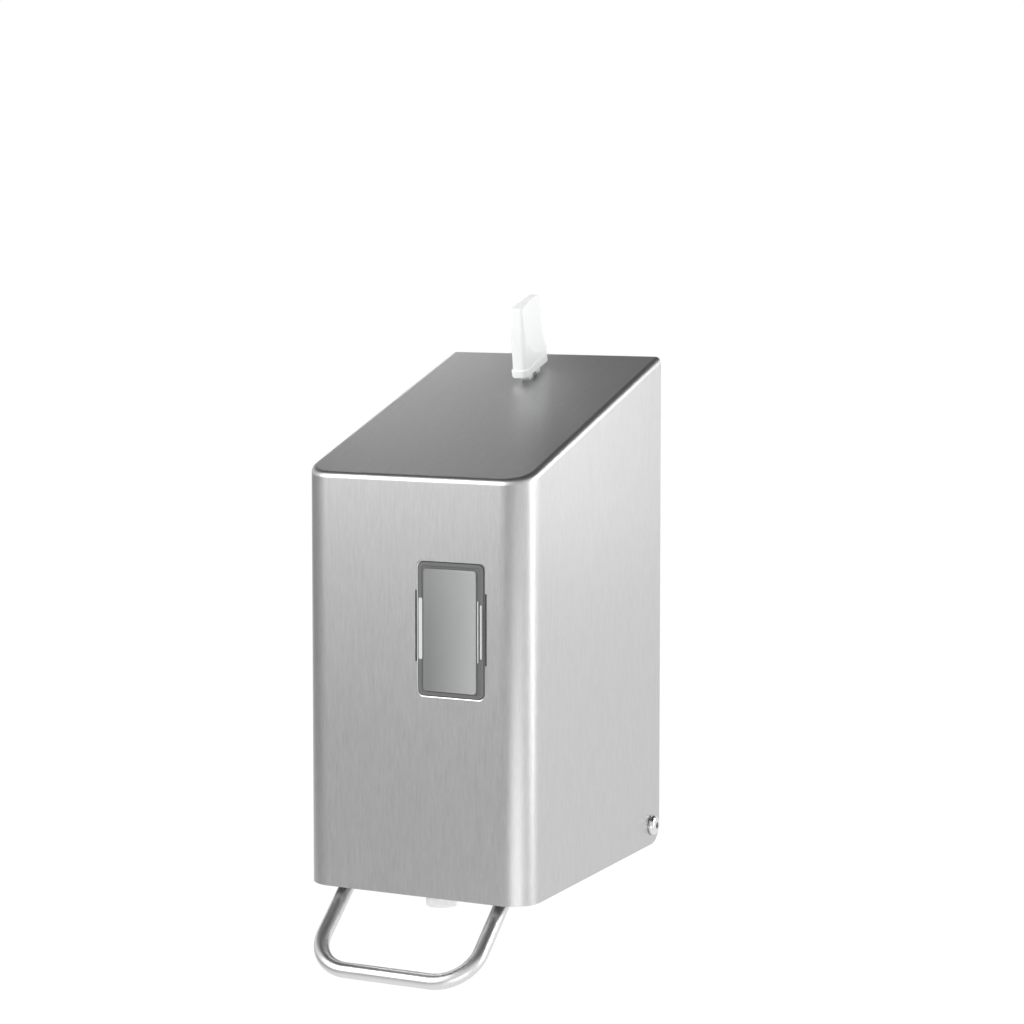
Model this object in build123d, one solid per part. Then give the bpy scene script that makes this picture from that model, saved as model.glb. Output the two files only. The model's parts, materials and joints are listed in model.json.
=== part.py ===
from build123d import *
from math import atan, cos, degrees, radians, sin, tan
import os

# Wall-mounted soap dispenser with a folded steel hood, a bail lever, a lift pump and a key lock.
# It is drawn from the hood's bottom front edge: X to the viewer's right, Y from the hood's front
# face to the wall, Z up from the hood's bottom edge. place() then puts the origin at the centre
# of the wall plate's four holes, on the wall. Sizes are in millimetres.

# Hood
hood_width = 99.0
hood_depth = 131.5
front_height = 165.0
rear_height = 206.5
sheet = 1.0
bend_radius = 11.5
top_edge_radius = 2.6
wall_gap = 0.5

# Hinge screws at the hood's bottom rear corners
hinge_y = 123.3
hinge_z = 8.2
hinge_bush_radius = 3.0
running_gap = 0.05
screw_head_radius = 4.2
screw_head_height = 2.3

# Window in the front panel, right of the middle
window_left = 2.1
window_right = 31.5
window_bottom = 79.35
window_top = 132.7
window_corner = 2.2
notch_depth = 0.75
notch_bottom = 93.0
notch_top = 121.0
fit_gap = 0.15

# Wall plate
plate_half_width = 45.5
plate_thickness = 1.5
plate_bottom = 1.5
plate_top = 180.0
wall_hole_x = 30.0
wall_hole_z = 60.0
wall_hole_radius = 2.75
origin_height = 105.0

# Pump, on a vertical axis behind the front panel
pump_y = 24.5
spout_radius = 6.25
spout_bottom = -10.3
flange_radius = 15.0
flange_bottom = 12.3
flange_thickness = 2.0
stem_radius = 4.0
stem_top = 58.0
outlet_radius = 2.2
cylinder_radius = 11.0
cylinder_bore = 8.0
piston_gap = 0.06
ball_radius = 4.0
ball_seat = 74.3

# Tank
tank_half_width = 40.0
tank_front = 8.0
tank_rear = 122.0
tank_bottom = 46.0
tank_top = 108.0
tank_wall = 1.8
tank_corner = 4.0
filler_height = 4.0
collar_bottom = 27.5
collar_top = 42.0
cap_y = 78.0

# Lever: a bent rod bail welded to a fork plate
rod_radius = 3.1
arm_x = 34.4
arm_angle = 38.8
arm_drop = -8.86
bar_y = -21.8
bail_bend = 16.0
pivot_y = 11.0
pivot_z = 9.0
pin_radius = 2.0
cheek_inner = 29.3
cheek_outer = 31.3
ear_inner = 27.3
ear_outer = 28.8
fork_bottom = 10.0
fork_top = 12.0
fork_rear = 33.0
fork_slot = 8.5

# Latch and key, on the slope of the hood's top: t runs up the slope, h stands square to it
slot_half_width = 2.3
slot_front = 106.5
slot_rear = 119.5
key_half_thickness = 3.35
key_foot_bottom = 2.2
plunger_top = -6.5
guide_half_width = 4.6
guide_bottom = -14.0
stirrup_bottom = -26.0
latch_spring_t = 115.0
stud_x = 8.5
stud_t = 101.0

slope = degrees(atan((rear_height - front_height) / hood_depth))
wall_plane = hood_depth + wall_gap
place = Location((0, -wall_plane, -origin_height))
on_slope = Location((0, 0, front_height), (slope, 0, 0))


def block(x_range, y_range, z_range):
    """Box between two corners."""
    size = [high - low for low, high in (x_range, y_range, z_range)]
    middle = [(high + low) / 2 for low, high in (x_range, y_range, z_range)]
    return Pos(*middle) * Box(*size)


def post(radius, low, high, x=0.0, y=0.0):
    """Upright cylinder."""
    return Pos(x, y, (low + high) / 2) * Cylinder(radius, high - low)


def cross_pin(radius, left, right, y, z):
    """Cylinder along X."""
    return Pos((left + right) / 2, y, z) * Rot(0, 90, 0) * Cylinder(radius, right - left)


def mirrored(shape):
    """A piece and its twin on the other side, as separate solids."""
    return Compound(children=[shape, mirror(shape, about=Plane.YZ)])


def side_plate(points, left, right):
    """Plate cut to an outline of (y, z) points, between two X positions."""
    face = Plane.YZ * make_face(Polyline(*points, close=True))
    return Pos(left, 0, 0) * extrude(face, amount=right - left)


def front_frame(x_range, z_range, corner, y):
    """Rounded rectangle standing in the plane of the front panel."""
    width = x_range[1] - x_range[0]
    height = z_range[1] - z_range[0]
    middle = ((x_range[0] + x_range[1]) / 2, y, (z_range[0] + z_range[1]) / 2)
    plane = Plane(origin=middle, x_dir=(1, 0, 0), z_dir=(0, -1, 0))
    return plane * RectangleRounded(width, height, corner)


def hood_body(half_width, front, rear, bottom, top_drop, bend, top_radius, rear_corner):
    """Sloped box with rounded front corners and rounded top edges."""
    rise = tan(radians(slope))
    outline = [
        (front, bottom),
        (rear, bottom),
        (rear, front_height + rear * rise - top_drop),
        (front, front_height + front * rise - top_drop),
    ]
    body = side_plate(outline, -half_width, half_width)
    corners = body.edges().filter_by(Axis.Z).group_by(Axis.Y)[0]
    body = fillet(corners, bend)
    if rear_corner:
        low_edges = body.edges().filter_by(Axis.X).group_by(Axis.Z)[0]
        body = fillet(low_edges.sort_by(Axis.Y)[-1], rear_corner)
    normal = Vector(0, -sin(radians(slope)), cos(radians(slope)))
    top = [face for face in body.faces() if face.normal_at().dot(normal) > 0.999][0]
    rims = [edge for edge in top.edges() if edge.center().Y < rear - 1.0]
    return fillet(rims, top_radius)


def hood_shell():
    outer = hood_body(
        hood_width / 2, 0, hood_depth, 0, 0, bend_radius, top_edge_radius, rear_corner=hinge_z
    )
    overrun = 5.0
    inner = hood_body(
        hood_width / 2 - sheet,
        sheet,
        hood_depth + overrun,
        -overrun,
        sheet / cos(radians(slope)),
        bend_radius - sheet,
        top_edge_radius - sheet,
        rear_corner=0,
    )
    shell = outer - inner
    opening = extrude(
        front_frame((window_left, window_right), (window_bottom, window_top), window_corner, 3.0), 6.0
    )
    notches = block(
        (window_left - notch_depth, window_right + notch_depth), (-3, 3), (notch_bottom, notch_top)
    )
    shell -= opening
    shell -= notches
    shell -= cross_pin(hinge_bush_radius + running_gap, -60, 60, hinge_y, hinge_z)
    shell -= on_slope * block((-slot_half_width, slot_half_width), (slot_front, slot_rear), (-3, 3))
    return shell


def window_insert():
    """Clear insert: a flange behind the sheet and a low bevelled panel through the opening."""
    flange_lap = 3.0
    flange_back = 2.4
    panel_proud = 0.6
    bevel_side = 3.1
    bevel_bottom = 2.2
    bevel_top = 3.0
    lap_x = (window_left - flange_lap, window_right + flange_lap)
    lap_z = (window_bottom - flange_lap, window_top + flange_lap)
    flange = extrude(front_frame(lap_x, lap_z, 3.0, flange_back), flange_back - sheet)
    base_x = (window_left + fit_gap, window_right - fit_gap)
    base_z = (window_bottom + fit_gap, window_top - fit_gap)
    base = extrude(front_frame(base_x, base_z, window_corner - fit_gap, sheet), sheet)
    panel_x = (base_x[0] + bevel_side, base_x[1] - bevel_side)
    panel_z = (base_z[0] + bevel_bottom, base_z[1] - bevel_top)
    panel = loft(
        [
            front_frame(base_x, base_z, window_corner - fit_gap, 0.0),
            front_frame(panel_x, panel_z, 1.2, -panel_proud),
        ]
    )
    tabs = block(
        (window_left - notch_depth + fit_gap, window_right + notch_depth - fit_gap),
        (0, sheet),
        (notch_bottom + fit_gap, notch_top - fit_gap),
    )
    insert = flange + base + panel + tabs
    pocket = block(
        (panel_x[0] + 0.8, panel_x[1] - 0.8), (0.9, flange_back), (panel_z[0] + 0.8, panel_z[1] - 0.8)
    )
    insert -= pocket
    slit_width = 1.3
    slit_offset = 0.8
    for left in (window_left + slit_offset, window_right - slit_offset - slit_width):
        insert -= block((left, left + slit_width), (-2, 3), (notch_bottom + 1, notch_top - 3))
    return insert


def window_retainer():
    """Spring steel frame that holds the insert against the back of the front panel."""
    lap = 4.2
    front = 2.4
    thickness = 0.8
    x_range = (window_left - lap, window_right + lap)
    z_range = (window_bottom - lap, window_top + lap)
    frame = extrude(front_frame(x_range, z_range, 3.5, front + thickness), thickness)
    opening = block((window_left + 0.3, window_right - 0.3), (0, 5), (window_bottom + 3.5, window_top - 4))
    return frame - opening


def lever_bracket():
    """Folded bracket on the back of the front panel, with an ear at each side for the lever's pins."""
    ear_radius = 5.0
    web = block((-ear_outer, ear_outer), (sheet, sheet + 1.5), (pivot_z - ear_radius, 22.0))
    ears = []
    for left, right in ((-ear_outer, -ear_inner), (ear_inner, ear_outer)):
        plate = block((left, right), (sheet, pivot_y), (pivot_z - ear_radius, pivot_z + ear_radius))
        ears.append(plate + cross_pin(ear_radius, left, right, pivot_y, pivot_z))
    bracket = web + ears[0] + ears[1]
    return bracket - cross_pin(pin_radius, -60, 60, pivot_y, pivot_z)


def lever_pins():
    """Headed pins pressed into the bracket's ears."""
    head = cross_pin(3.4, ear_inner - 1.4, ear_inner, pivot_y, pivot_z)
    shank = cross_pin(pin_radius, ear_inner - 0.5, cheek_outer + 1.5, pivot_y, pivot_z)
    groove = cross_pin(3.0, cheek_outer + 0.25, cheek_outer + 0.85, pivot_y, pivot_z)
    core = cross_pin(1.5, cheek_outer + 0.2, cheek_outer + 0.9, pivot_y, pivot_z)
    return mirrored(head + shank - (groove - core))


def pin_clips():
    """Snap rings in the pins' grooves."""
    ring = cross_pin(3.1, cheek_outer + 0.25, cheek_outer + 0.85, pivot_y, pivot_z)
    ring -= cross_pin(1.5, cheek_outer, cheek_outer + 1.5, pivot_y, pivot_z)
    ring -= block((cheek_outer, cheek_outer + 1.5), (pivot_y - 1.2, pivot_y + 1.2), (pivot_z, pivot_z + 4))
    return mirrored(ring)


def lever_bushes():
    """Flanged plastic bushes in the fork's cheeks."""
    barrel = cross_pin(3.0, cheek_inner, cheek_outer, pivot_y, pivot_z)
    flange = cross_pin(4.2, cheek_inner - 0.4, cheek_inner, pivot_y, pivot_z)
    bore = cross_pin(pin_radius + running_gap, ear_outer - 1, cheek_outer + 1, pivot_y, pivot_z)
    return mirrored(barrel + flange - bore)


def lever_fork():
    """Folded plate with a fork that lifts the pump's flange, and a cheek at each side."""
    centre_half_width = 25.0
    root = block((-centre_half_width, centre_half_width), (8.0, 18.5), (fork_bottom, fork_top))
    wings = block((-cheek_outer, cheek_outer), (17.8, 27.0), (fork_bottom, fork_top))
    prongs = block((-14.5, 14.5), (26.0, fork_rear), (fork_bottom, fork_top))
    slot_front_y = 15.5 + fork_slot
    slot = block((-fork_slot, fork_slot), (slot_front_y, 60.0), (0, 20))
    slot += post(fork_slot, 0, 20, y=slot_front_y)
    plate = root + wings + prongs - slot
    outline = [
        (pivot_y - 5.0, pivot_z - 3.0),
        (pivot_y - 5.0, pivot_z + 3.0),
        (pivot_y - 1.5, pivot_z + 5.5),
        (17.8, fork_top),
        (27.0, fork_top),
        (27.0, fork_bottom),
        (22.0, 6.0),
        (13.0, 3.5),
        (pivot_y - 2.0, 3.5),
    ]
    for left, right in ((-cheek_outer, -cheek_inner), (cheek_inner, cheek_outer)):
        plate += side_plate(outline, left, right)
        plate -= cross_pin(3.0, left - 1, right + 1, pivot_y, pivot_z)
    return plate


def bail_point(x, y):
    """Point on the bail's sloping plane."""
    return (x, y, arm_drop + y * tan(radians(arm_angle)))


def lever_bail():
    """Round rod bent to a U: two sloping arms and the bar that the hand pushes."""
    arm_end_y = 22.0
    route = FilletPolyline(
        bail_point(-arm_x, arm_end_y),
        bail_point(-arm_x, bar_y),
        bail_point(arm_x, bar_y),
        bail_point(arm_x, arm_end_y),
        radius=bail_bend,
    )
    section = Plane(origin=route @ 0, z_dir=route % 0) * Circle(rod_radius)
    return sweep(section, path=route)


def lock_housing():
    """Moulded guide under the hood's top, with a stirrup that carries the latch spring."""
    floor = 1.5
    leg_x = 6.5
    outer_x = 9.0
    leg_t = (109.0, 121.0)
    body = block((-12, 12), (97, 124), (guide_bottom, -sheet))
    body = fillet(body.edges().filter_by(Axis.Z), 3.0)
    body -= block((-guide_half_width, guide_half_width), (105.9, 120.1), (guide_bottom - 1, 0))
    stirrup = block((-outer_x, outer_x), leg_t, (stirrup_bottom, guide_bottom))
    stirrup -= block((-leg_x, leg_x), (100, 130), (stirrup_bottom + floor, guide_bottom))
    body += stirrup
    for x in (-stud_x, stud_x):
        body -= post(1.6, guide_bottom - 1, 0, x, stud_t)
    return on_slope * body


def lock_studs():
    """Weld studs under the hood's top."""
    studs = [post(1.5, guide_bottom - 3.5, -sheet, x, stud_t) for x in (-stud_x, stud_x)]
    return on_slope * Compound(children=studs)


def lock_nuts():
    """Nuts that clamp the lock housing on its studs."""
    height = 2.4
    nuts = []
    for x in (-stud_x, stud_x):
        nut = Pos(x, stud_t, guide_bottom - height) * extrude(RegularPolygon(3.2, 6), height)
        nuts.append(nut - post(1.5, guide_bottom - 5, 0, x, stud_t))
    return on_slope * Compound(children=nuts)


def latch_plunger():
    """Sliding latch: the key's prongs press its head down and its hook leaves the striker."""
    head_bottom = -22.0
    hook_bottom = -37.5
    half_width = 3.0
    stem_t = (100.5, 103.5)
    tooth_t = (108.0, 111.0)
    head = block((-4.5, 4.5), (106, 120), (head_bottom, plunger_top))
    bridge = block((-half_width, half_width), (stem_t[0], 110), (head_bottom, head_bottom + 3))
    stem = block((-half_width, half_width), stem_t, (hook_bottom, head_bottom + 3))
    foot = block((-half_width, half_width), (stem_t[0], tooth_t[1]), (hook_bottom, hook_bottom + 1.5))
    tooth = block((-half_width, half_width), tooth_t, (hook_bottom + 1.5, hook_bottom + 4))
    plunger = head + bridge + stem + foot + tooth
    plunger -= post(3.6, head_bottom - 1, -10, 0, latch_spring_t)
    return on_slope * plunger


def spring_coil(radius, wire, low, high, turns):
    """Open spring of flat-sided wire along Z, from low to high, made of rising half turns."""
    step = (high - low - wire) / (2 * turns)
    half_turns = []
    side = 1
    for index in range(2 * turns):
        base = low + wire / 2 + step * index
        half_turns.append(
            ThreePointArc(
                (side * radius, 0, base), (0, side * radius, base + step / 2), (-side * radius, 0, base + step)
            )
        )
        side = -side
    route = Wire(half_turns)
    section = Plane(origin=route @ 0, x_dir=(0, 0, 1), z_dir=route % 0) * Rectangle(wire, wire)
    return sweep(section, path=route)


def latch_spring():
    """Coil between the stirrup and the latch."""
    return on_slope * Pos(0, latch_spring_t, 0) * spring_coil(2.7, 0.7, stirrup_bottom + 1.5, -10.0, 4)


def latch_striker():
    """Folded striker on the wall plate, with a down-turned lip for the latch's hook."""
    leg_top = 177.0
    tongue = on_slope * block((-8, 8), (105, 128), (-28.5, -27))
    lip = on_slope * block((-8, 8), (105, 106.5), (-31, -27))
    leg = block((-8, 8), (plate_front() - 1.5, plate_front()), (156, leg_top))
    striker = tongue + lip + leg
    striker -= block((-20, 20), (plate_front(), plate_front() + 10), (100, 200))
    return striker


def plate_front():
    return wall_plane - plate_thickness


def key():
    """Flat plug-in key with a finger dish in each side, a foot and two prongs."""
    blade_low = 3.0
    blade_high = 31.3
    foot_high = 5.8
    foot_half_width = 3.9
    front_edge_radius = 1.9
    outline = [(101.9, blade_low), (123.8, blade_low), (127.0, blade_high), (107.2, blade_high)]
    blade = side_plate(outline, -key_half_thickness, key_half_thickness)
    front_face = blade.faces().sort_by(Axis.Y)[0]
    blade = fillet(front_face.edges().filter_by(Axis.X, reverse=True), front_edge_radius)
    blade = fillet(blade.faces().sort_by(Axis.Z)[-1].edges(), 1.2)
    foot = block((-foot_half_width, foot_half_width), (101.5, 124.6), (key_foot_bottom, foot_high))
    foot = fillet(foot.edges().filter_by(Axis.Z), 2.6)
    foot = fillet(foot.faces().sort_by(Axis.Z)[0].edges(), 0.9)
    foot = fillet(foot.faces().sort_by(Axis.Z)[-1].edges(), 0.5)
    body = blade + foot
    dish_radius = 78.0
    dish_depth = 1.9
    dish_t = 121.8
    dish_height = 25.0
    for side in (-1, 1):
        centre_x = side * (key_half_thickness + dish_radius - dish_depth)
        body -= Pos(centre_x, dish_t, dish_height) * Sphere(dish_radius)
    prong_width = 4.0
    for t in (107.2, 115.0):
        body += block((-1.8, 1.8), (t, t + prong_width), (plunger_top, key_foot_bottom + 0.5))
    return on_slope * body


def back_plate():
    """Wall plate with a folded cheek at each side for the hinge, and narrow stiffening flanges."""
    front = plate_front()
    plate = block(
        (-plate_half_width, plate_half_width), (front, wall_plane), (plate_bottom, plate_top)
    )
    cheek_outline = [
        (front, plate_bottom),
        (hinge_y - 5.0, plate_bottom),
        (hinge_y - 8.0, plate_bottom + 3.0),
        (hinge_y - 8.0, 20.0),
        (front - 5.0, 32.0),
        (front - 5.0, 170.0),
        (front, plate_top),
    ]
    for left in (-plate_half_width - plate_thickness, plate_half_width):
        plate += side_plate(cheek_outline, left, left + plate_thickness)
        plate += block((left, left + plate_thickness), (front, wall_plane), (plate_bottom, plate_top))
    for x in (-wall_hole_x, wall_hole_x):
        for z in (origin_height - wall_hole_z, origin_height + wall_hole_z):
            plate -= Pos(x, front, z) * Rot(90, 0, 0) * Cylinder(wall_hole_radius, 20)
    plate -= cross_pin(2.1, -60, 60, hinge_y, hinge_z)
    middle_opening = extrude(front_frame((-14, 14), (70, 140), 6.0, front + 5), 10)
    return plate - middle_opening


def hinge_bushes():
    """Bushes between the wall plate's cheeks and the screw heads; the hood turns on them."""
    inner = plate_half_width + plate_thickness
    outer = hood_width / 2 + 0.15
    bush = cross_pin(hinge_bush_radius, inner, outer, hinge_y, hinge_z)
    bush += cross_pin(4.5, inner, hood_width / 2 - sheet - 0.1, hinge_y, hinge_z)
    return mirrored(bush - cross_pin(2.0, 40, 60, hinge_y, hinge_z))


def hinge_screws():
    """Domed socket screws at the hood's bottom rear corners."""
    seat = hood_width / 2 + 0.15
    head = cross_pin(screw_head_radius, seat, seat + screw_head_height, hinge_y, hinge_z)
    head = fillet(head.edges().group_by(Axis.X)[-1], screw_head_height - 0.3)
    screw = head + cross_pin(2.0, 40.5, seat + 0.5, hinge_y, hinge_z)
    screw -= Pos(seat + 1.0, hinge_y, hinge_z) * Rot(0, 90, 0) * extrude(RegularPolygon(1.45, 6), 5)
    return mirrored(screw)


def hinge_nuts():
    """Nuts pressed on the inside of the wall plate's cheeks."""
    left = plate_half_width - 3.0
    nut = Pos(left, hinge_y, hinge_z) * Rot(0, 90, 0) * extrude(RegularPolygon(4.04, 6), 3.0)
    return mirrored(nut - cross_pin(2.0, 30, 60, hinge_y, hinge_z))


def tank_shelf():
    """Folded shelf that carries the tank and the pump, screwed to the wall plate."""
    front = plate_front()
    shelf = block((-38, 38), (5.5, front), (44.5, 46.0))
    upstand = block((-38, 38), (front - 1.5, front), (26.0, 46.0))
    lip = block((-38, 38), (5.5, 7.0), (44.5, 49.0))
    gussets = []
    for left in (-38.0, 36.5):
        gussets.append(side_plate([(front, 26), (front, 46), (front - 40, 46)], left, left + 1.5))
    shelf = shelf + upstand + lip + gussets[0] + gussets[1]
    shelf -= post(14.5, 40, 50, y=pump_y)
    for x, z in shelf_screw_places():
        shelf -= Pos(x, front, z) * Rot(90, 0, 0) * Cylinder(1.7, 10)
    return shelf


def shelf_screw_places():
    return [(x, 33.0) for x in (-24.0, 24.0)]


def shelf_screws():
    """Pan-head screws through the shelf's upstand."""
    front = plate_front()
    screws = []
    for x, z in shelf_screw_places():
        head = Pos(x, front - 2.4, z) * Rot(90, 0, 0) * Cylinder(3.0, 1.8)
        shank = Pos(x, front - 0.75, z) * Rot(90, 0, 0) * Cylinder(1.5, 1.5)
        screws.append(head + shank)
    return Compound(children=screws)


def tank():
    """Translucent soap tank with a filler hole on top and a threaded neck at the pump."""
    outer = block((-tank_half_width, tank_half_width), (tank_front, tank_rear), (tank_bottom, tank_top))
    outer = fillet(outer.edges().filter_by(Axis.Z), tank_corner)
    outer = fillet(outer.faces().sort_by(Axis.Z)[-1].edges(), tank_corner)
    inner = block(
        (-tank_half_width + tank_wall, tank_half_width - tank_wall),
        (tank_front + tank_wall, tank_rear - tank_wall),
        (tank_bottom + tank_wall, tank_top - tank_wall),
    )
    inner = fillet(inner.edges().filter_by(Axis.Z), tank_corner - tank_wall)
    inner = chamfer(inner.faces().sort_by(Axis.Z)[-1].edges(), tank_wall)
    neck = post(14.2, collar_bottom + 8.5, tank_bottom + tank_wall, y=pump_y)
    body = outer + neck - inner
    body += post(24.0, tank_top - 1, tank_top + filler_height, y=cap_y)
    body -= post(21.0, tank_top - 5, tank_top + filler_height + 1, y=cap_y)
    return body - post(11.2, 30.0, tank_bottom + 5, y=pump_y)


def cap_seal():
    """Flat ring under the filler cap."""
    low = tank_top + filler_height
    return post(23.5, low, low + 1.0, y=cap_y) - post(21.2, low - 1, low + 2, y=cap_y)


def tank_cap():
    """Filler cap with a grooved rim."""
    high = tank_top + filler_height + 4.0
    cap = post(26.5, tank_top, high, y=cap_y)
    cap = chamfer(cap.faces().sort_by(Axis.Z)[-1].edges(), 1.2)
    cap -= post(24.2, tank_top - 1, tank_top + filler_height + 1, y=cap_y)
    grooves = 12
    for index in range(grooves):
        angle = radians(360 / grooves * index)
        cap -= post(1.8, tank_top - 1, high - 2, 27.2 * cos(angle), cap_y + 27.2 * sin(angle))
    return cap


def pump_cylinder():
    """Pump barrel: its flange is clamped under the tank's neck, its ball valve opens into the tank."""
    barrel_top = 74.0
    cage_top = 81.0
    seat_bottom = 71.5
    seat_angle = 0.6
    ball_room = ball_radius + 0.4
    body = post(cylinder_radius, 31.0, barrel_top, y=pump_y)
    body += post(13.8, 32.0, 35.0, y=pump_y)
    body += post(6.5, barrel_top - 1, cage_top, y=pump_y)
    body -= post(cylinder_bore, 33.5, 70.0, y=pump_y)
    body -= post(stem_radius + 0.08, 25.0, 40.0, y=pump_y)
    body -= post(3.0, 69.0, 75.0, y=pump_y)
    seat_height = (ball_room - 3.0) / seat_angle
    body -= Pos(0, pump_y, seat_bottom + seat_height / 2) * Cone(3.0, ball_room, seat_height)
    body -= post(ball_room, seat_bottom + seat_height, cage_top - 1.5, y=pump_y)
    window = block((-8, 8), (pump_y - 2, pump_y + 2), (barrel_top + 1, cage_top - 1.5))
    return body - window - Pos(0, pump_y, 0) * Rot(0, 0, 90) * Pos(0, -pump_y, 0) * window


def collar_nut():
    """Union nut that clamps the pump barrel to the tank's neck."""
    nut = post(19.0, collar_bottom, collar_top, y=pump_y)
    nut = chamfer(nut.faces().sort_by(Axis.Z)[0].edges(), 1.2)
    nut -= post(14.4, 32.0, collar_top + 1, y=pump_y)
    nut -= post(11.3, 20.0, 40.0, y=pump_y)
    grooves = 12
    for index in range(grooves):
        angle = radians(360 / grooves * index)
        nut -= post(1.6, 30.0, collar_top + 1, 19.6 * cos(angle), pump_y + 19.6 * sin(angle))
    return nut


def neck_gasket():
    """Seal between the pump barrel's flange and the tank's neck."""
    return post(13.8, 35.0, 36.0, y=pump_y) - post(11.2, 30.0, 40.0, y=pump_y)


def inlet_ball():
    """Ball that closes the barrel's inlet while the piston rises."""
    return Pos(0, pump_y, ball_seat) * Sphere(ball_radius)


def pump_stem():
    """Hollow stem with the flange that the fork lifts and a seat for the piston ring."""
    stem = post(stem_radius, -2.0, stem_top, y=pump_y)
    stem += post(flange_radius, flange_bottom, flange_bottom + flange_thickness, y=pump_y)
    stem += post(6.6, stem_top - 8, stem_top - 6, y=pump_y)
    stem += post(6.6, stem_top - 2, stem_top, y=pump_y)
    return stem - post(outlet_radius, -5.0, stem_top + 5, y=pump_y)


def piston_ring():
    """Soft ring that seals the stem in the barrel."""
    ring = post(cylinder_bore - piston_gap, stem_top - 6, stem_top - 2, y=pump_y)
    ring = chamfer(ring.edges(), 0.8)
    return ring - post(stem_radius, 40.0, 70.0, y=pump_y)


def spout():
    """Translucent outlet that shows below the hood."""
    tube = post(spout_radius, spout_bottom, flange_bottom, y=pump_y)
    tube = chamfer(tube.faces().sort_by(Axis.Z)[0].edges(), 1.4)
    tube -= post(stem_radius, -2.0, 20.0, y=pump_y)
    return tube - post(3.2, -20.0, 0.0, y=pump_y)


def pump_spring():
    """Return spring between the stem's flange and the union nut."""
    low = flange_bottom + flange_thickness
    return Pos(0, pump_y, 0) * spring_coil(12.8, 1.0, low, collar_bottom, 3)


pieces = {
    "hood_shell": hood_shell,
    "window_insert": window_insert,
    "window_retainer": window_retainer,
    "lever_bracket": lever_bracket,
    "lever_pins": lever_pins,
    "pin_clips": pin_clips,
    "lever_bushes": lever_bushes,
    "lever_fork": lever_fork,
    "lever_bail": lever_bail,
    "lock_housing": lock_housing,
    "lock_studs": lock_studs,
    "lock_nuts": lock_nuts,
    "latch_plunger": latch_plunger,
    "latch_spring": latch_spring,
    "latch_striker": latch_striker,
    "key": key,
    "back_plate": back_plate,
    "hinge_bushes": hinge_bushes,
    "hinge_screws": hinge_screws,
    "hinge_nuts": hinge_nuts,
    "tank_shelf": tank_shelf,
    "shelf_screws": shelf_screws,
    "tank": tank,
    "cap_seal": cap_seal,
    "tank_cap": tank_cap,
    "pump_cylinder": pump_cylinder,
    "collar_nut": collar_nut,
    "neck_gasket": neck_gasket,
    "inlet_ball": inlet_ball,
    "pump_stem": pump_stem,
    "piston_ring": piston_ring,
    "spout": spout,
    "pump_spring": pump_spring,
}

os.makedirs("parts", exist_ok=True)
for name, make in pieces.items():
    export_step(place * make(), f"parts/{name}.step")
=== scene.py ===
import json
import math

import bmesh
import bpy
from mathutils import Matrix, Vector


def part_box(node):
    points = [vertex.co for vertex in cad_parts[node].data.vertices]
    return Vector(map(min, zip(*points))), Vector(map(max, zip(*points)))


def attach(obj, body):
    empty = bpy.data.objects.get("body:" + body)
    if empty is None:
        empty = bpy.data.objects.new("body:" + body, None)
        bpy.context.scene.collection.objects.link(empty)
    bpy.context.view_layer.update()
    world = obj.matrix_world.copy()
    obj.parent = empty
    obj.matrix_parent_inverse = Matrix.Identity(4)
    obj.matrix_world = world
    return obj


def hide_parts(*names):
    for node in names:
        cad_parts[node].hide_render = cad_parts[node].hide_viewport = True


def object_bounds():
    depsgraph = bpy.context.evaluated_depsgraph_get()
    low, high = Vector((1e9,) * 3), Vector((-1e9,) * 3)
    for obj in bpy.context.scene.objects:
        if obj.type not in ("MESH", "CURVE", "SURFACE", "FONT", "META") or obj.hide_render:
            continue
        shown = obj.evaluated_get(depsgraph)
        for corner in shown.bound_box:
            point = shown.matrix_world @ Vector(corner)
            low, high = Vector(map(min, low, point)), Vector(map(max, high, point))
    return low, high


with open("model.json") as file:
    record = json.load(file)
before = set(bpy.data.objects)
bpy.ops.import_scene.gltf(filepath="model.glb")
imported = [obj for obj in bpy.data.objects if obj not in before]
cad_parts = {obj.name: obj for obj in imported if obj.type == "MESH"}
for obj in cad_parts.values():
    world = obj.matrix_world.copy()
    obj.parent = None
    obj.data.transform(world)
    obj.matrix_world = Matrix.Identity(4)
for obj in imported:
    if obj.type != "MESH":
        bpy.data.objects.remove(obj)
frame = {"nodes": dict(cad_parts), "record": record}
cad_low, cad_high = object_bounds()

# Drawing sizes shared with the solids, in metres. The row's origin is the centre of the wall holes.
hood_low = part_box("hood_shell")[0]
front_y = hood_low.y
bottom_z = hood_low.z


def on_hood(x, y, z):
    """A point given from the hood's bottom front edge, in metres."""
    return Vector((x, front_y + y, bottom_z + z))


# Window sizes in the drawing, in metres: the cut-out with its side notches, the satin panel and the slits
window_x = (0.0021, 0.0315)
window_z = (0.07935, 0.1327)
notch_left = window_x[0] - 0.00072
notch_right = window_x[1] - 0.0006
notch_width = 0.00132
notch_z = (0.093, 0.121)
flange_lap = 0.003
bezel_gap = 0.0006
lip_width = 0.0005
lip_overlap = 0.0001
panel_x = (window_x[0] + 0.0029, window_x[1] - 0.0037)
panel_z = (window_z[0] + 0.00235, window_z[1] - 0.00315)
slit_y = (-0.00018, 0.0005)
long_slit_z = (0.094, 0.118)
short_slit_z = (0.0955, 0.1165)


# Small node helpers


def new_material(name):
    material = bpy.data.materials.new(name)
    material.use_nodes = True
    nodes, links = material.node_tree.nodes, material.node_tree.links
    return material, nodes, links, nodes["Principled BSDF"]


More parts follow.
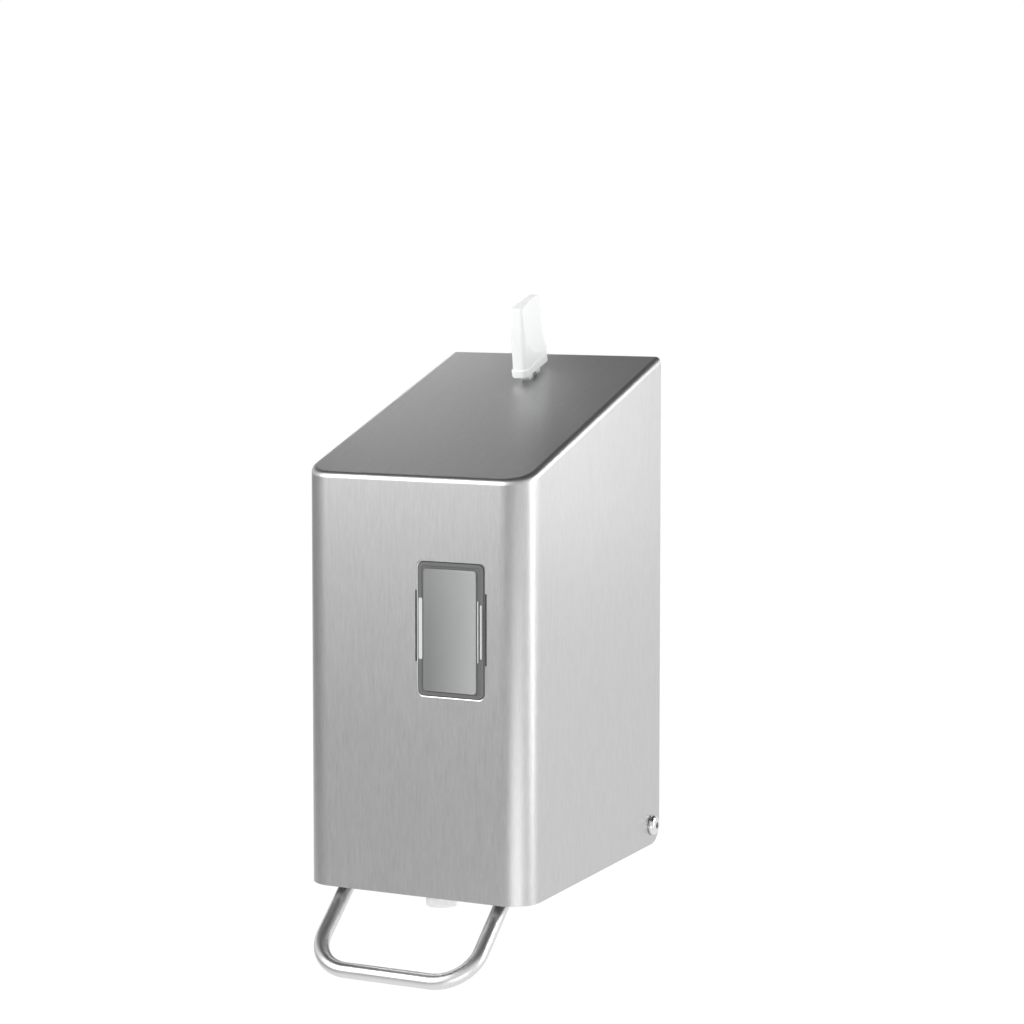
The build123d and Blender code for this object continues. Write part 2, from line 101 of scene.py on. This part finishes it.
def object_coordinates(nodes, links, scale, rotation=(0.0, 0.0, 0.0)):
    """Object coordinates stretched by a mapping node."""
    coordinates = nodes.new("ShaderNodeTexCoord")
    mapping = nodes.new("ShaderNodeMapping")
    mapping.inputs["Scale"].default_value = scale
    mapping.inputs["Rotation"].default_value = rotation
    links.new(coordinates.outputs["Object"], mapping.inputs["Vector"])
    return mapping.outputs["Vector"]


def vector_by_facing(nodes, links, wall_vector, top_vector):
    """Takes the second vector where the surface faces up, and the first elsewhere."""
    geometry = nodes.new("ShaderNodeNewGeometry")
    split = nodes.new("ShaderNodeSeparateXYZ")
    links.new(geometry.outputs["True Normal"], split.inputs["Vector"])
    facing = nodes.new("ShaderNodeMath")
    facing.operation = "GREATER_THAN"
    facing.inputs[1].default_value = 0.7
    links.new(split.outputs["Z"], facing.inputs[0])
    mix = nodes.new("ShaderNodeMix")
    mix.data_type = "VECTOR"
    links.new(facing.outputs["Value"], mix.inputs["Factor"])
    links.new(wall_vector, mix.inputs["A"])
    links.new(top_vector, mix.inputs["B"])
    return mix.outputs["Result"]


def noise(nodes, links, vector, scale, detail=2.0, roughness=0.5):
    texture = nodes.new("ShaderNodeTexNoise")
    texture.inputs["Scale"].default_value = scale
    texture.inputs["Detail"].default_value = detail
    texture.inputs["Roughness"].default_value = roughness
    links.new(vector, texture.inputs["Vector"])
    return texture.outputs["Fac"]


def spread(nodes, links, value, low, high):
    """Maps 0..1 to low..high."""
    remap = nodes.new("ShaderNodeMapRange")
    remap.inputs["To Min"].default_value = low
    remap.inputs["To Max"].default_value = high
    links.new(value, remap.inputs["Value"])
    return remap.outputs["Result"]


def make_grain_group():
    """Brushed grain: long fine scratches along one axis, as a tone and a height."""
    group = bpy.data.node_groups.new("brushed_grain", "ShaderNodeTree")
    group.interface.new_socket("Vector", in_out="INPUT", socket_type="NodeSocketVector")
    for name in ("Tone", "Height"):
        group.interface.new_socket(name, in_out="OUTPUT", socket_type="NodeSocketFloat")
    nodes, links = group.nodes, group.links
    source = nodes.new("NodeGroupInput")
    sink = nodes.new("NodeGroupOutput")
    fine = nodes.new("ShaderNodeTexNoise")
    fine.inputs["Scale"].default_value = 1.0
    fine.inputs["Detail"].default_value = 3.0
    fine.inputs["Roughness"].default_value = 0.65
    links.new(source.outputs["Vector"], fine.inputs["Vector"])
    broad_vector = nodes.new("ShaderNodeVectorMath")
    broad_vector.operation = "MULTIPLY"
    broad_vector.inputs[1].default_value = (0.25, 0.25, 0.3)
    links.new(source.outputs["Vector"], broad_vector.inputs[0])
    broad = nodes.new("ShaderNodeTexNoise")
    broad.inputs["Scale"].default_value = 1.0
    broad.inputs["Detail"].default_value = 2.0
    links.new(broad_vector.outputs["Vector"], broad.inputs["Vector"])
    mix = nodes.new("ShaderNodeMix")
    mix.data_type = "FLOAT"
    mix.inputs["Factor"].default_value = 0.2
    links.new(fine.outputs["Fac"], mix.inputs["A"])
    links.new(broad.outputs["Fac"], mix.inputs["B"])
    links.new(mix.outputs["Result"], sink.inputs["Tone"])
    links.new(fine.outputs["Fac"], sink.inputs["Height"])
    return group


grain_group = make_grain_group()


def brushed_steel(
    name, colour, roughness, grain_scale, tone=0.08, bump=0.06, rough_swing=0.05, top_scale=None
):
    """Brushed stainless steel; the scales are scratches per metre along X, Y and Z, on walls and on tops."""
    material, nodes, links, shader = new_material(name)
    shader.inputs["Metallic"].default_value = 1.0
    vector = object_coordinates(nodes, links, grain_scale)
    if top_scale:
        vector = vector_by_facing(nodes, links, vector, object_coordinates(nodes, links, top_scale))
    grain = nodes.new("ShaderNodeGroup")
    grain.node_tree = grain_group
    links.new(vector, grain.inputs["Vector"])
    shade = spread(nodes, links, grain.outputs["Tone"], colour * (1 - tone), colour * (1 + tone))
    combine = nodes.new("ShaderNodeCombineColor")
    for channel in ("Red", "Green", "Blue"):
        links.new(shade, combine.inputs[channel])
    links.new(combine.outputs["Color"], shader.inputs["Base Color"])
    rough = spread(nodes, links, grain.outputs["Tone"], roughness - rough_swing, roughness + rough_swing)
    links.new(rough, shader.inputs["Roughness"])
    height = nodes.new("ShaderNodeBump")
    height.inputs["Strength"].default_value = bump
    height.inputs["Distance"].default_value = 0.0002
    links.new(grain.outputs["Height"], height.inputs["Height"])
    links.new(height.outputs["Normal"], shader.inputs["Normal"])
    return material


def moulded_plastic(name, colour, roughness, texture_scale=900.0, bump=0.03, tone=0.03):
    """Plastic with the faint texture of its mould and slight unevenness of colour."""
    material, nodes, links, shader = new_material(name)
    vector = object_coordinates(nodes, links, (1.0, 1.0, 1.0))
    fine = noise(nodes, links, vector, texture_scale, detail=2.0)
    broad = noise(nodes, links, vector, 60.0, detail=2.0)
    mix = nodes.new("ShaderNodeMix")
    mix.data_type = "RGBA"
    mix.inputs["A"].default_value = (*[channel * (1 - tone) for channel in colour], 1)
    mix.inputs["B"].default_value = (*[min(1.0, channel * (1 + tone)) for channel in colour], 1)
    links.new(broad, mix.inputs["Factor"])
    links.new(mix.outputs["Result"], shader.inputs["Base Color"])
    links.new(spread(nodes, links, broad, roughness - 0.04, roughness + 0.04), shader.inputs["Roughness"])
    height = nodes.new("ShaderNodeBump")
    height.inputs["Strength"].default_value = bump
    height.inputs["Distance"].default_value = 0.0002
    links.new(fine, height.inputs["Height"])
    links.new(height.outputs["Normal"], shader.inputs["Normal"])
    return material


def milky(name, colour, transmission, roughness):
    """Translucent plastic of the spout and the tank."""
    material = moulded_plastic(name, colour, roughness)
    shader = material.node_tree.nodes["Principled BSDF"]
    shader.inputs["Transmission Weight"].default_value = transmission
    shader.inputs["IOR"].default_value = 1.35
    return material


def smoked_plastic(name, colour):
    """Smoked grey plastic of the window, a little uneven in tone."""
    return moulded_plastic(name, colour, 0.3, texture_scale=500.0, bump=0.015, tone=0.12)


def window_satin_painted_shading(name):
    """Satin face of the window's panel, with painted shading: its colour is darker at the left and lighter
    towards its right side.
    """
    material, nodes, links, shader = new_material(name)
    coordinates = nodes.new("ShaderNodeTexCoord")
    split = nodes.new("ShaderNodeSeparateXYZ")
    links.new(coordinates.outputs["Object"], split.inputs["Vector"])
    across = nodes.new("ShaderNodeMapRange")
    across.inputs["From Min"].default_value = panel_x[0]
    across.inputs["From Max"].default_value = panel_x[1]
    links.new(split.outputs["X"], across.inputs["Value"])
    # Painted shading: the base colour grows lighter from the panel's left edge to its right, as the light
    # falls on it.
    ramp = nodes.new("ShaderNodeValToRGB")
    ramp.color_ramp.elements[0].color = (0.155, 0.157, 0.157, 1)
    ramp.color_ramp.elements[0].position = 0.1
    ramp.color_ramp.elements[1].color = (0.32, 0.322, 0.322, 1)
    ramp.color_ramp.elements[1].position = 0.95
    links.new(across.outputs["Result"], ramp.inputs["Fac"])
    links.new(ramp.outputs["Color"], shader.inputs["Base Color"])
    vector = object_coordinates(nodes, links, (1.0, 1.0, 1.0))
    links.new(spread(nodes, links, noise(nodes, links, vector, 300.0), 0.42, 0.5), shader.inputs["Roughness"])
    return material


hood_finish = brushed_steel(
    "hood_brushed", 0.52, 0.40, (3300, 3300, 190), tone=0.22, bump=0.09, top_scale=(3300, 190, 190)
)
finishes = {
    "hood_steel": hood_finish,
    "rod_steel": brushed_steel("rod_satin", 0.68, 0.34, (1600, 500, 1600), tone=0.16, bump=0.10),
    "screw_steel": brushed_steel("screw_polished", 0.70, 0.16, (500, 500, 500), tone=0.03, bump=0.02),
    "plate_steel": brushed_steel("plate_mill", 0.52, 0.38, (60, 900, 900), tone=0.06, bump=0.05),
    "spring_steel": brushed_steel("spring_wire", 0.5, 0.3, (300, 300, 300), tone=0.05, bump=0.03),
    "smoked_window": smoked_plastic("window_smoked", (0.12, 0.122, 0.122)),
    "window_edge": smoked_plastic("window_edge", (0.018, 0.019, 0.019)),
    "window_slit": moulded_plastic("window_slit", (0.50, 0.505, 0.505), 0.4),
    "milky_plastic": milky("milky_plastic", (0.985, 0.985, 0.985), 0.05, 0.4),
    "white_plastic": moulded_plastic("white_plastic", (0.80, 0.81, 0.81), 0.32),
    "dark_plastic": moulded_plastic("dark_plastic", (0.03, 0.03, 0.032), 0.45),
    "seal_rubber": moulded_plastic("seal_rubber", (0.02, 0.02, 0.02), 0.7),
    "ball_steel": brushed_steel("ball_polished", 0.75, 0.1, (300, 300, 300), tone=0.02, bump=0.01),
}

slot_of = {entry["node"]: entry["material_slot"] for entry in frame["record"]["subparts"]}
for node, piece in frame["nodes"].items():
    finish = finishes[slot_of[node]]
    piece.data.materials.clear()
    piece.data.materials.append(finish)


# New pieces


def piece_from(mesh, name, material, body, smooth_angle=40.0):
    """Makes an object at the world origin from a bmesh and lets it ride on a body."""
    bmesh.ops.recalc_face_normals(mesh, faces=mesh.faces)
    data = bpy.data.meshes.new(name)
    mesh.to_mesh(data)
    mesh.free()
    data.materials.append(material)
    data.shade_smooth()
    data.set_sharp_from_angle(angle=math.radians(smooth_angle))
    piece = bpy.data.objects.new(name, data)
    bpy.context.scene.collection.objects.link(piece)
    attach(piece, body)
    return piece


def bevel_all(mesh, edges, width, segments=3):
    bmesh.ops.bevel(
        mesh, geom=edges, offset=width, segments=segments, affect="EDGES", profile=0.5, material=-1
    )


def rounded_plate(mesh, x_range, z_range, y_range, corner, segments=6):
    """Upright plate with rounded corners, added to a bmesh."""
    size = (x_range[1] - x_range[0], y_range[1] - y_range[0], z_range[1] - z_range[0])
    middle = [(low + high) / 2 for low, high in (x_range, y_range, z_range)]
    matrix = Matrix.Translation(on_hood(*middle)) @ Matrix.Diagonal((*size, 1))
    made = bmesh.ops.create_cube(mesh, size=1.0, matrix=matrix)
    edges = {edge for vert in made["verts"] for edge in vert.link_edges}
    depth_edges = [edge for edge in edges if abs(edge.verts[0].co.y - edge.verts[1].co.y) > 1e-6]
    bmesh.ops.bevel(
        mesh, geom=depth_edges, offset=corner, segments=segments, affect="EDGES", profile=0.5, material=-1
    )


def widened(span, margin):
    """A range made wider by a margin at both ends."""
    return (span[0] - margin, span[1] + margin)


def front_of(mesh):
    """The foremost face of an upright plate."""
    return min(mesh.faces, key=lambda face: face.calc_center_median().y)


def back_of(mesh):
    """The rearmost face of an upright plate."""
    return max(mesh.faces, key=lambda face: face.calc_center_median().y)


def lip_plate(x_range, z_range, corner, width):
    """Deburred edge inside an upright opening: a narrow band that slopes from the sheet's face inwards."""
    mesh = bmesh.new()
    rounded_plate(mesh, x_range, z_range, (-0.00002, 0.0009), corner, 8)
    front = front_of(mesh)
    back = back_of(mesh)
    bmesh.ops.inset_individual(mesh, faces=[back], thickness=width, depth=0.0)
    for share, fall in ((0.35, -0.00005), (0.4, -0.0001), (0.25, -0.0003)):
        bmesh.ops.inset_individual(mesh, faces=[front], thickness=width * share, depth=fall)
    rims = list(front.edges) + list(back.edges)
    bmesh.ops.delete(mesh, geom=[front, back], context="FACES_ONLY")
    bmesh.ops.bridge_loops(mesh, edges=rims)
    return mesh


def make_window():
    """Smoked bezel with a raised rim, bevelled sides, a satin panel with painted shading across it and a pale
    slit at each side.
    """
    smoked = finishes["smoked_window"]
    dark = finishes["window_edge"]
    # The panel's material carries painted shading, lighter towards its right side.
    satin = window_satin_painted_shading("window_satin_painted_shading")

    edge = bmesh.new()
    rounded_plate(edge, window_x, window_z, (0.00055, 0.0011), 0.0025, 8)
    for side_x in (notch_left, notch_right):
        rounded_plate(edge, (side_x, side_x + notch_width), notch_z, (0.0004, 0.0011), 0.0004, 3)
    piece_from(edge, "window_edge", dark, "hood", 30.0)

    bezel = bmesh.new()
    bezel_x = widened(window_x, -bezel_gap)
    bezel_z = widened(window_z, -bezel_gap)
    rounded_plate(bezel, bezel_x, bezel_z, (0.0001, 0.0012), 0.0022, 8)
    for width, rise in ((0.00025, 0.0002), (0.0010, 0.0), (0.0004, -0.00035)):
        bmesh.ops.inset_individual(bezel, faces=[front_of(bezel)], thickness=width, depth=rise)
    window = piece_from(bezel, "window_bezel", smoked, "hood", 30.0)
    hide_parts("window_insert")

    flange = bmesh.new()
    flange_x = widened(window_x, flange_lap)
    flange_z = widened(window_z, flange_lap)
    rounded_plate(flange, flange_x, flange_z, (0.00105, 0.0024), 0.003)
    piece_from(flange, "window_flange", smoked, "hood", 30.0)

    lip = lip_plate(widened(window_x, lip_overlap), widened(window_z, lip_overlap), 0.0029, lip_width)
    piece_from(lip, "window_lip", finishes["rod_steel"], "hood", 60.0)

    panel = bmesh.new()
    rounded_plate(panel, panel_x, panel_z, (-0.0005, 0.0006), 0.0013)
    rim = [
        edge
        for edge in panel.edges
        if all(vert.co.y < front_y - 0.0004 for vert in edge.verts)
    ]
    bevel_all(panel, rim, 0.0001, 2)
    piece_from(panel, "window_panel", satin, "hood", 30.0)

    slits = bmesh.new()
    rounded_plate(slits, (0.00285, 0.00445), long_slit_z, slit_y, 0.0005, 3)
    rounded_plate(slits, (0.0283, 0.0287), long_slit_z, slit_y, 0.00018, 2)
    rounded_plate(slits, (0.0295, 0.0302), short_slit_z, slit_y, 0.0003, 2)
    piece_from(slits, "window_slits", finishes["window_slit"], "hood", 30.0)


make_window()


# Camera, floor and light

room_grey = 0.84
floor_grey = 0.15
ceiling_grey = 0.05
room_fill = 0.72
camera_yaw = 25.69
camera_pitch = 4.2
camera_place = on_hood(0.4978, -0.9453, 0.2664)
floor_drop = 0.16
floor_share = 0.88
floor_slant = 0.9
ceiling_slant = 0.6


def make_camera():
    """The photograph's view: from the front right, slightly above, with a long lens."""
    yaw = math.radians(camera_yaw)
    pitch = math.radians(camera_pitch)
    data = bpy.data.cameras.new("camera")
    data.sensor_width = 36.0
    data.lens = 97.26
    data.shift_y = -0.0923
    camera = bpy.data.objects.new("camera", data)
    bpy.context.scene.collection.objects.link(camera)
    camera.location = camera_place
    camera.rotation_euler = (math.pi / 2 - pitch, 0.0, yaw)
    bpy.context.scene.camera = camera


def background_rays(nodes, links):
    """1 for rays that see the background itself: from the camera, off metal and through clear plastic."""
    path = nodes.new("ShaderNodeLightPath")
    first = nodes.new("ShaderNodeMath")
    first.operation = "ADD"
    second = nodes.new("ShaderNodeMath")
    second.operation = "ADD"
    second.use_clamp = True
    links.new(path.outputs["Is Camera Ray"], first.inputs[0])
    links.new(path.outputs["Is Glossy Ray"], first.inputs[1])
    links.new(first.outputs["Value"], second.inputs[0])
    links.new(path.outputs["Is Transmission Ray"], second.inputs[1])
    return second.outputs["Value"]


def pale_to_white(nodes, links, value, start, end, grey):
    """Pale grey on the camera's side of the room, white behind the object."""
    ramp = nodes.new("ShaderNodeMapRange")
    ramp.interpolation_type = "SMOOTHSTEP"
    ramp.inputs["From Min"].default_value = start
    ramp.inputs["From Max"].default_value = end
    ramp.inputs["To Min"].default_value = grey
    ramp.inputs["To Max"].default_value = 1.0
    links.new(value, ramp.inputs["Value"])
    return ramp.outputs["Result"]


def make_floor():
    """Plain pale floor below the wall-held object, which keeps the object's shadow."""
    mesh = bmesh.new()
    bmesh.ops.create_grid(mesh, x_segments=1, y_segments=1, size=30.0)
    data = bpy.data.meshes.new("floor")
    mesh.to_mesh(data)
    mesh.free()
    floor = bpy.data.objects.new("floor", data)
    floor.location = (0, 0, cad_low.z - floor_drop)
    bpy.context.scene.collection.objects.link(floor)
    material, nodes, links, shader = new_material("floor_pale")
    shader.inputs["Base Color"].default_value = (0.95, 0.95, 0.95, 1)
    shader.inputs["Roughness"].default_value = 0.9
    coordinates = nodes.new("ShaderNodeTexCoord")
    split = nodes.new("ShaderNodeSeparateXYZ")
    links.new(coordinates.outputs["Object"], split.inputs["Vector"])
    aslant = nodes.new("ShaderNodeMath")
    aslant.operation = "MULTIPLY_ADD"
    aslant.inputs[1].default_value = floor_slant
    links.new(split.outputs["X"], aslant.inputs[0])
    links.new(split.outputs["Y"], aslant.inputs[2])
    white = nodes.new("ShaderNodeEmission")
    level = pale_to_white(nodes, links, aslant.outputs["Value"], -1.3, -0.2, floor_grey)
    links.new(level, white.inputs["Color"])
    white.inputs["Strength"].default_value = 1.05
    share = nodes.new("ShaderNodeMath")
    share.operation = "MULTIPLY"
    share.inputs[1].default_value = floor_share
    links.new(background_rays(nodes, links), share.inputs[0])
    mix = nodes.new("ShaderNodeMixShader")
    links.new(share.outputs["Value"], mix.inputs["Fac"])
    links.new(shader.outputs["BSDF"], mix.inputs[1])
    links.new(white.outputs["Emission"], mix.inputs[2])
    links.new(mix.outputs["Shader"], nodes["Material Output"].inputs["Surface"])
    data.materials.append(material)


def make_world():
    """White backdrop behind the object, a pale grey room ahead and a ceiling that darkens to the rear."""
    world = bpy.data.worlds.new("studio")
    bpy.context.scene.world = world
    world.use_nodes = True
    nodes, links = world.node_tree.nodes, world.node_tree.links
    nodes.clear()
    coordinates = nodes.new("ShaderNodeTexCoord")
    split = nodes.new("ShaderNodeSeparateXYZ")
    links.new(coordinates.outputs["Generated"], split.inputs["Vector"])
    level = pale_to_white(nodes, links, split.outputs["Y"], -0.9, 0.2, room_grey)
    ceiling = nodes.new("ShaderNodeMapRange")
    ceiling.interpolation_type = "SMOOTHSTEP"
    ceiling.inputs["From Min"].default_value = 0.2
    ceiling.inputs["From Max"].default_value = 0.68
    ceiling.inputs["To Min"].default_value = 1.0
    ceiling.inputs["To Max"].default_value = ceiling_grey
    ahead = nodes.new("ShaderNodeMath")
    ahead.operation = "MINIMUM"
    ahead.inputs[1].default_value = 0.0
    links.new(split.outputs["Y"], ahead.inputs[0])
    rise = nodes.new("ShaderNodeMath")
    rise.operation = "MULTIPLY_ADD"
    rise.inputs[1].default_value = ceiling_slant
    links.new(ahead.outputs["Value"], rise.inputs[0])
    links.new(split.outputs["Z"], rise.inputs[2])
    links.new(rise.outputs["Value"], ceiling.inputs["Value"])
    shade = nodes.new("ShaderNodeMath")
    shade.operation = "MULTIPLY"
    links.new(level, shade.inputs[0])
    links.new(ceiling.outputs["Result"], shade.inputs[1])
    backdrop = nodes.new("ShaderNodeBackground")
    links.new(shade.outputs["Value"], backdrop.inputs["Color"])
    room = nodes.new("ShaderNodeBackground")
    room.inputs["Color"].default_value = (room_fill, room_fill, room_fill, 1)
    mix = nodes.new("ShaderNodeMixShader")
    output = nodes.new("ShaderNodeOutputWorld")
    links.new(background_rays(nodes, links), mix.inputs["Fac"])
    links.new(room.outputs["Background"], mix.inputs[1])
    links.new(backdrop.outputs["Background"], mix.inputs[2])
    links.new(mix.outputs["Shader"], output.inputs["Surface"])


def area_light(name, place, target, size, power):
    data = bpy.data.lights.new(name, "AREA")
    data.shape = "RECTANGLE"
    data.size, data.size_y = size
    data.energy = power
    light = bpy.data.objects.new(name, data)
    light.location = place
    light.rotation_euler = (Vector(target) - Vector(place)).to_track_quat("-Z", "Y").to_euler()
    light.visible_camera = False
    bpy.context.scene.collection.objects.link(light)


make_camera()
make_floor()
make_world()
middle = (cad_low + cad_high) / 2
far_lamps = (
    ("key_high_left", (-0.62, -0.95, 0.80), (0.8, 0.6), 7.0),
    ("panel_front_left", (-0.60, -1.03, 0.36), (0.8, 0.5), 4.7),
    ("strip_right", (1.05, 0.26, 0.16), (0.14, 0.9), 2.8),
    ("panel_side_right", (0.56, 0.42, 0.26), (0.2, 0.36), 1.5),
)
for name, offset, size, power in far_lamps:
    area_light(name, middle + Vector(offset), middle, size, power)
near_lamps = (
    ("panel_back_left", (-0.27, 0.31, 0.29), (-0.04, -0.02, 0.10), (0.16, 0.1), 0.1),
    ("panel_low_right", (0.32, -0.48, -0.24), (0, -0.1, -0.1), (0.4, 0.2), 0.45),
    ("panel_near_bend", (0.20, 0.12, 0.06), (0.05, -0.10, 0.03), (0.12, 0.12), 0.02),
)
for name, place, target, size, power in near_lamps:
    area_light(name, place, target, size, power)

bpy.context.scene.view_settings.view_transform = "Standard"
